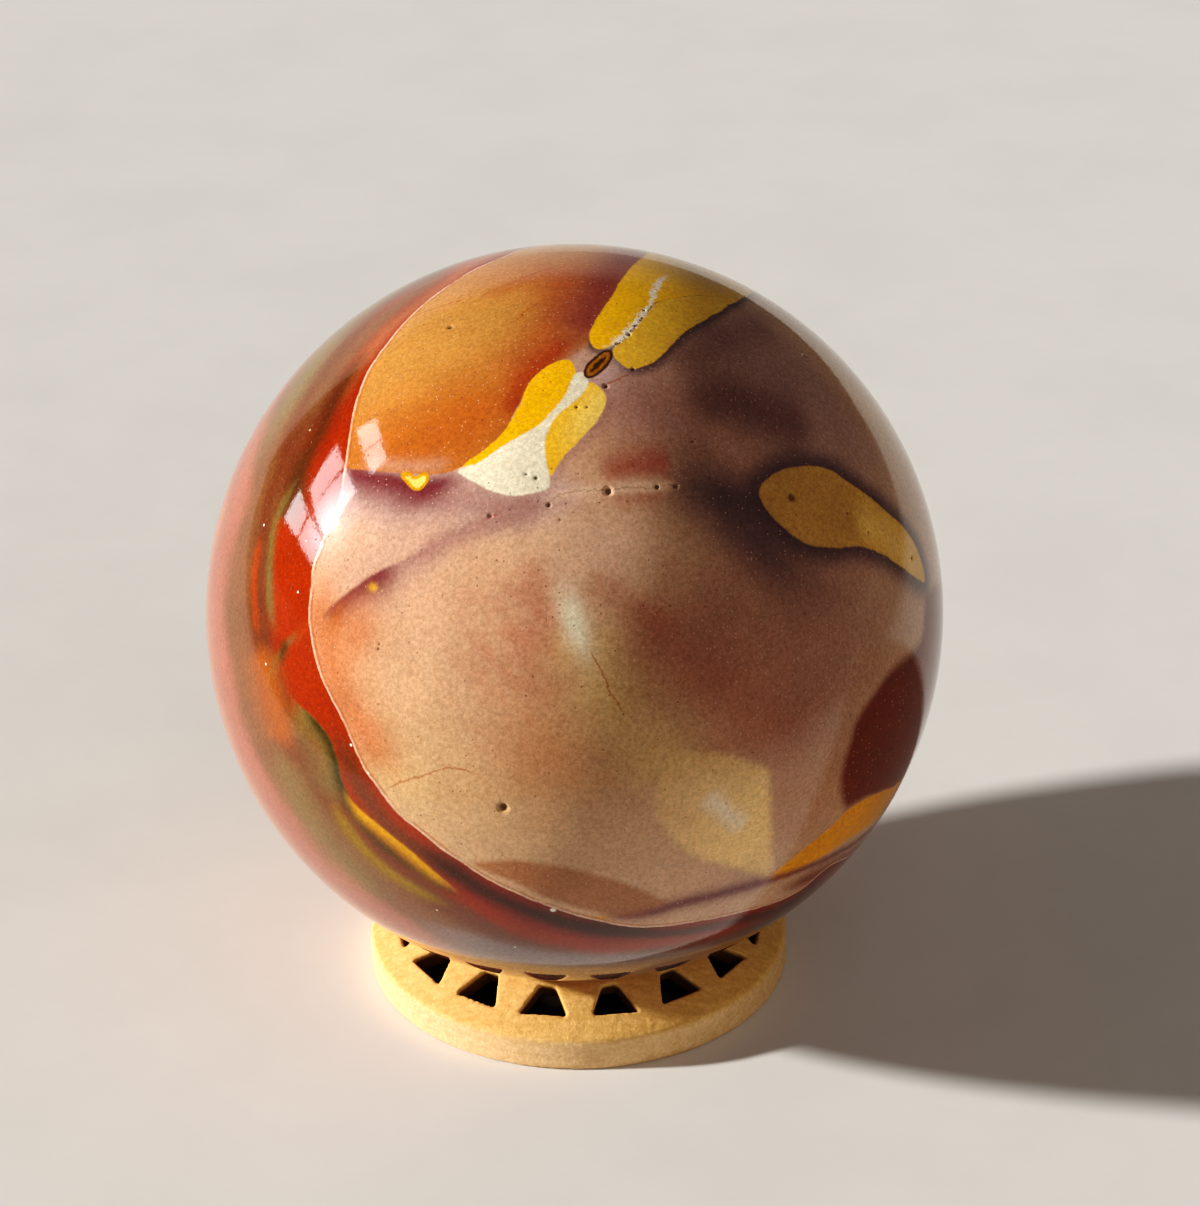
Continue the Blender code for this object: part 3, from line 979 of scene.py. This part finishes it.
def ring_section():
    """The ring's section as (distance from the axis, height), from the foot outwards and up."""
    bore = RIM_RADIUS - SEAT_WIDTH
    foot_inside = OUTER_RADIUS - FOOT_WALL
    sphere_reach = SPHERE_RADIUS / MM + REST_GAP
    seat = SPHERE_CENTRE.z / MM - math.sqrt(sphere_reach**2 - bore**2)

    def underside(radius):
        drop = SLOPE_WALL / math.cos(SLOPE_ANGLE)
        return TOP_HEIGHT + (RIM_RADIUS - radius) * math.tan(SLOPE_ANGLE) - drop

    return rounded_outline([
        (OUTER_RADIUS, 0.0, FOOT_ROUND), (OUTER_RADIUS, RING_BAND, RIDGE_ROUND),
        (RIM_RADIUS, TOP_HEIGHT, RIM_ROUND), (bore, seat, 0.0), (bore, underside(bore), 0.0),
        (foot_inside, underside(foot_inside), 0.0), (foot_inside, 0.0, 0.0),
    ])


def join_loops(builder, loops, closed):
    """Joins loops of points in order: the last to the first if closed, or else the two ends are filled."""
    rows = [[builder.verts.new(point) for point in loop] for loop in loops]
    size = len(rows[0])
    for index in range(len(rows) if closed else len(rows) - 1):
        here, there = rows[index], rows[(index + 1) % len(rows)]
        for place in range(size):
            after = (place + 1) % size
            builder.faces.new((here[place], there[place], there[after], here[after]))
    if not closed:
        builder.faces.new(rows[0])
        builder.faces.new(rows[-1])


def object_of(name, builder):
    bmesh.ops.recalc_face_normals(builder, faces=builder.faces)
    mesh = bpy.data.meshes.new(name)
    builder.to_mesh(mesh)
    builder.free()
    return add_object(name, mesh)


def slope_point(across, up_slope, out, angle):
    """A point by its place on the sloping wall, turned to its place in the ring."""
    radius = OUTER_RADIUS - up_slope * math.cos(SLOPE_ANGLE) + out * math.sin(SLOPE_ANGLE)
    height = RING_BAND + up_slope * math.sin(SLOPE_ANGLE) + out * math.cos(SLOPE_ANGLE)
    return Matrix.Rotation(angle, 3, "Z") @ Vector((radius, across, height))


def cutout_loops(index, chance):
    """The ends of one cut-out's cutter: a rounded triangle, a little unlike its neighbours."""
    angle = 2 * math.pi * (index + 0.5) / CUTOUT_COUNT
    wide_radius = OUTER_RADIUS - RIDGE_MARGIN * math.cos(SLOPE_ANGLE)
    half_wide = (2 * math.pi * wide_radius / CUTOUT_COUNT - CUTOUT_BAR) / 2
    half_tip = CUTOUT_TIP_WIDTH / 2
    top = math.hypot(SLOPE_RUN, SLOPE_RISE) - RIM_MARGIN
    corners = [(-half_wide, RIDGE_MARGIN), (half_wide, RIDGE_MARGIN), (half_tip, top), (-half_tip, top)]
    uneven = []
    for x, y in corners:
        aside = chance.uniform(-1, 1) * CUT_UNEVENNESS
        up = chance.uniform(-1, 0.6) * CUT_UNEVENNESS
        uneven.append((x + aside, y + up, CUTOUT_ROUND))
    outline = rounded_outline(uneven)
    depths = (CUTTER_OVERRUN, -(SLOPE_WALL + CUTTER_OVERRUN))
    return [[slope_point(x, y, depth, angle) for x, y in outline] for depth in depths]


def applied(obj, kind, **settings):
    """The object's mesh replaced by the result of one modifier."""
    modifier = obj.modifiers.new(kind.lower(), kind)
    for key, value in settings.items():
        setattr(modifier, key, value)
    bpy.context.view_layer.update()
    made = bpy.data.meshes.new_from_object(obj.evaluated_get(bpy.context.evaluated_depsgraph_get()))
    obj.modifiers.remove(modifier)
    obj.data = made


def build_ring():
    """The pierced ring, cut in mm, given softened edges and a faint relief, then brought to size."""
    section = ring_section()
    turns = [2 * math.pi * step / RING_SEGMENTS for step in range(RING_SEGMENTS)]
    loops = [[(r * math.cos(t), r * math.sin(t), z) for r, z in section] for t in turns]
    builder = bmesh.new()
    join_loops(builder, loops, True)
    ring = object_of("turned_ring", builder)
    chance = random.Random(CUTOUT_COUNT)
    builder = bmesh.new()
    for index in range(CUTOUT_COUNT):
        join_loops(builder, cutout_loops(index, chance), False)
    cutters = object_of("cutters", builder)
    applied(ring, "BOOLEAN", operation="DIFFERENCE", solver="FAST", object=cutters)
    bpy.data.objects.remove(cutters)
    applied(ring, "REMESH", mode="VOXEL", voxel_size=WOOD_VOXEL)
    applied(ring, "SMOOTH", factor=0.5, iterations=2)
    mesh = ring.data
    places = np.empty(len(mesh.vertices) * 3)
    outwards = np.empty(len(mesh.vertices) * 3)
    mesh.vertices.foreach_get("co", places)
    mesh.vertex_normals.foreach_get("vector", outwards)
    places = places.reshape(-1, 3)
    relief = np.array([noise.fractal(Vector(p) * 1.6, 0.6, 2.0, 3) for p in places]) * WOOD_RELIEF
    places += outwards.reshape(-1, 3) * relief[:, None]
    places[:, 2] = np.clip(places[:, 2], 0.0, TOP_HEIGHT)
    places[:, :2] /= np.maximum(1.0, np.hypot(places[:, 0], places[:, 1]) / OUTER_RADIUS)[:, None]
    mesh.vertices.foreach_set("co", (places * MM).ravel())
    mesh.update()
    mesh.shade_smooth()
    mesh.materials.clear()
    mesh.materials.append(wood_material())
    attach(ring, "root")
    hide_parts("ring_stand")


# The stage: the floor's painted lit part in mm, its painted shade and painted shadow under the ring, and
# the lights and what the polish mirrors in metres
FLOOR_SIZE = 4.0
PAPER_LEFT_EDGE = -115.0
PAPER_FRONT_EDGE = -130.0
PAPER_FRONT_FADE = 70.0
PAPER_RIGHT_EDGE = 100.0
PAPER_RIGHT_FADE = 90.0
WALL_EDGE_NORMAL = (-0.699, -0.651, 0.294)
WALL_STRENGTH = 0.5
LIGHT_REACH = 1.6
SUN_AZIMUTH = math.radians(-88.0)
SUN_ELEVATION = math.radians(19.5)
SUN_STRENGTH = 6.5
SUN_SPREAD = math.radians(4.0)
PANE_STRENGTH = 7.5
PANE_BOOST = 6.0
PANE_BOOST_REACH = 0.30
FILL_AZIMUTH = math.radians(35.0)
FILL_ELEVATION = math.radians(28.0)
FILL_STRENGTH = 0.8
FILL_SPREAD = math.radians(80.0)
GLARE_STRENGTH = 45.0
GLARE_RADIUS = 0.055
BLOOM_RADIUS = 0.34
BLOOM_STRENGTH = 7.0
DISC_SIDES = 32
DISC_NEARER = 0.02
ROOM_STRENGTH = 0.10
ROOM_TINT = (1.0, 0.93, 0.86, 1.0)
GLOW_TINT = (1.0, 0.96, 0.97, 1.0)
SUN_TINT = (1.0, 0.965, 0.9)
FILL_TINT = (1.0, 0.84, 0.7)
PAPER_TONES = (0.72, 0.72, 0.715, 1), (0.76, 0.76, 0.755, 1)
UNLIT_PAPER = (0.2, 0.19, 0.18, 1)
RING_SHADOW_PAINT = (0.03, 0.02, 0.012, 1)
PAPER_ROUGHNESS = 0.9
PAPER_SPECULAR = 0.2
NEAREST_SEEN = 0.01
FARTHEST_SEEN = 20.0


def build_floor():
    """Pale paper with painted shade far off, so that the polish mirrors the edges of its lit part: crisp at
    the left, else soft; and a painted shadow under the ring.
    """
    s = Shading("pale_paper")
    place = s.place_in_mm()
    tone = s.ease(s.noise(place, 0.05, 4.0, 0.6), 0.2, 0.8)
    paper = s.mix(tone, *PAPER_TONES)
    split = s.node("SeparateXYZ", {0: place})
    x, y = split.outputs["X"], split.outputs["Y"]
    # painted light: the paper is pale only in a lit part bounded at the left, the front and the right, and
    # painted in shade beyond it
    left = s.ease(s.plus(x, y), PAPER_LEFT_EDGE - 6, PAPER_LEFT_EDGE + 6)
    front = s.ease(y, PAPER_FRONT_EDGE, PAPER_FRONT_EDGE + PAPER_FRONT_FADE)
    slant = s.math("SUBTRACT", x, s.times(y, 0.6))
    right = s.flip(s.ease(slant, PAPER_RIGHT_EDGE, PAPER_RIGHT_EDGE + PAPER_RIGHT_FADE))
    lit = s.times(left, s.times(front, right))
    paper = s.mix(lit, UNLIT_PAPER, paper)
    # a painted shadow: dark paper under the ring, seen through its cut-outs
    away = s.vector("LENGTH", place, (0, 0, 0), "Value")
    painted_ring_shadow = s.flip(s.ease(away, OUTER_RADIUS - 2.2, OUTER_RADIUS - 1.6))
    s.feed(s.surface.inputs["Base Color"], s.mix(painted_ring_shadow, paper, RING_SHADOW_PAINT))
    s.surface.inputs["Roughness"].default_value = PAPER_ROUGHNESS
    s.surface.inputs["Specular IOR Level"].default_value = PAPER_SPECULAR
    bpy.ops.mesh.primitive_plane_add(size=FLOOR_SIZE, location=(0, 0, ring_low.z))
    floor = bpy.context.object
    floor.name = "floor"
    floor.data.materials.append(s.material)


def glow_material(name, strength, boost, reach):
    """A light of that strength, with more of it round the glare, fading over reach metres."""
    s = Shading(name)
    s.tree.nodes.remove(s.surface)
    place = s.node("NewGeometry").outputs["Position"]
    centre = SPHERE_CENTRE + mirrored(*GLARE_PIXEL) * LIGHT_REACH
    away = s.vector("DISTANCE", place, tuple(centre), "Value")
    near = s.flip(s.ease(away, 0.0, reach))
    total = s.plus(strength, s.times(near, boost))
    light = s.node("Emission", {"Color": GLOW_TINT, "Strength": total})
    clear = s.node("BsdfTransparent")
    both = s.node("AddShader", {0: light.outputs[0], 1: clear.outputs[0]})
    s.feed(s.tree.nodes["Material Output"].inputs[0], both.outputs[0])
    return s.material


def add_glow(name, points, material):
    """A flat bright shape that only shows in the polish: it lights no dull surface and shades nothing."""
    mesh = bpy.data.meshes.new(name)
    mesh.from_pydata([tuple(point) for point in points], [], [tuple(range(len(points)))])
    mesh.materials.append(material)
    glow = add_object(name, mesh)
    glow.visible_shadow = False
    glow.visible_diffuse = False


def build_window():
    """Bright panes to the left, placed so that the sphere mirrors them where the photograph shows them."""
    glow = glow_material("window_glow", PANE_STRENGTH, PANE_BOOST, PANE_BOOST_REACH)
    for index, corners in enumerate(WINDOW_PANES):
        points = [SPHERE_CENTRE + mirrored(*corner) * LIGHT_REACH for corner in corners]
        add_glow(f"pane_{index}", points, glow)


def add_sun(name, azimuth, elevation, strength, spread, colour):
    """A distant light, whose azimuth is 0 at the camera's side; the polish doesn't show it."""
    light = bpy.data.lights.new(name, "SUN")
    light.energy = strength
    light.angle = spread
    light.color = colour
    sun = add_object(name, light)
    flat = math.cos(elevation)
    towards = Vector((flat * math.sin(azimuth), -flat * math.cos(azimuth), math.sin(elevation)))
    sun.rotation_mode = "QUATERNION"
    sun.rotation_quaternion = towards.to_track_quat("Z", "Y")
    sun.visible_glossy = False


def build_glare():
    """The small bright disc that the polish shows for the sun, and a wide faint one for its bloom."""
    glare = mirrored(*GLARE_PIXEL)
    side = glare.cross(Vector((0, 0, 1))).normalized()
    over = side.cross(glare)
    discs = [
        ("sun_disc", GLARE_RADIUS, GLARE_STRENGTH, 0.0, DISC_NEARER),
        ("sun_bloom", BLOOM_RADIUS, 0.0, BLOOM_STRENGTH, 0.0),
    ]
    for name, radius, strength, boost, nearer in discs:
        centre = SPHERE_CENTRE + glare * (LIGHT_REACH - nearer)
        turns = [2 * math.pi * step / DISC_SIDES for step in range(DISC_SIDES)]
        points = [centre + (side * math.cos(t) + over * math.sin(t)) * radius for t in turns]
        add_glow(name, points, glow_material(name + "_glow", strength, boost, BLOOM_RADIUS))


def build_world():
    """A dim room, with a paler stretch of wall low down behind the object."""
    s = Shading("room_nodes")
    world = bpy.data.worlds.new("room")
    bpy.context.scene.world = world
    world.use_nodes = True
    background = world.node_tree.nodes["Background"]
    bpy.data.materials.remove(s.material)
    s.tree = world.node_tree
    towards = s.node("TexCoord").outputs["Generated"]
    split = s.node("SeparateXYZ", {0: towards})
    past_edge = s.vector("DOT_PRODUCT", towards, WALL_EDGE_NORMAL, "Value")
    left = s.flip(s.ease(past_edge, -0.02, 0.02))
    top = s.flip(s.ease(split.outputs["Z"], 0.30, 0.48))
    right = s.flip(s.ease(split.outputs["X"], -0.15, 0.35))
    wall = s.times(left, s.times(top, right))
    strength = s.plus(ROOM_STRENGTH, s.times(wall, WALL_STRENGTH))
    s.feed(background.inputs["Strength"], strength)
    background.inputs["Color"].default_value = ROOM_TINT


TONE_CURVE = [(0.0, 0.0), (0.03, 0.012), (0.06, 0.032), (0.1, 0.069), (0.2, 0.175), (0.5, 0.5), (1.0, 1.0)]


def set_tones():
    """Plain display colours with slightly deeper darks, as the photograph has."""
    view = bpy.context.scene.view_settings
    view.view_transform = "Standard"
    view.use_curve_mapping = True
    curve = view.curve_mapping.curves[3]
    for place, height in TONE_CURVE[1:-1]:
        curve.points.new(place, height)
    for point in curve.points:
        point.handle_type = "AUTO_CLAMPED"
    view.curve_mapping.update()


def build_camera():
    data = bpy.data.cameras.new("camera")
    camera = add_object("camera", data)
    data.sensor_fit = "AUTO"
    data.sensor_width = SENSOR_SIZE
    data.lens = SENSOR_SIZE * FOCAL_PIXELS / max(PHOTO_WIDTH, PHOTO_HEIGHT)
    data.clip_start = NEAREST_SEEN
    data.clip_end = FARTHEST_SEEN
    camera.location = SPHERE_CENTRE + TO_CAMERA * CAMERA_DISTANCE
    ahead = sight_line(PHOTO_WIDTH / 2, PHOTO_HEIGHT / 2)
    right = (CAMERA_RIGHT - ahead * CAMERA_RIGHT.dot(ahead)).normalized()
    up = right.cross(ahead)
    camera.rotation_mode = "QUATERNION"
    camera.rotation_quaternion = Matrix((right, up, -ahead)).transposed().to_quaternion()
    bpy.context.scene.camera = camera


set_tones()
build_camera()
build_world()
build_window()
build_glare()
add_sun("low_sun", SUN_AZIMUTH, SUN_ELEVATION, SUN_STRENGTH, SUN_SPREAD, SUN_TINT)
add_sun("soft_fill", FILL_AZIMUTH, FILL_ELEVATION, FILL_STRENGTH, FILL_SPREAD, FILL_TINT)
build_floor()
build_ring()
build_stone()
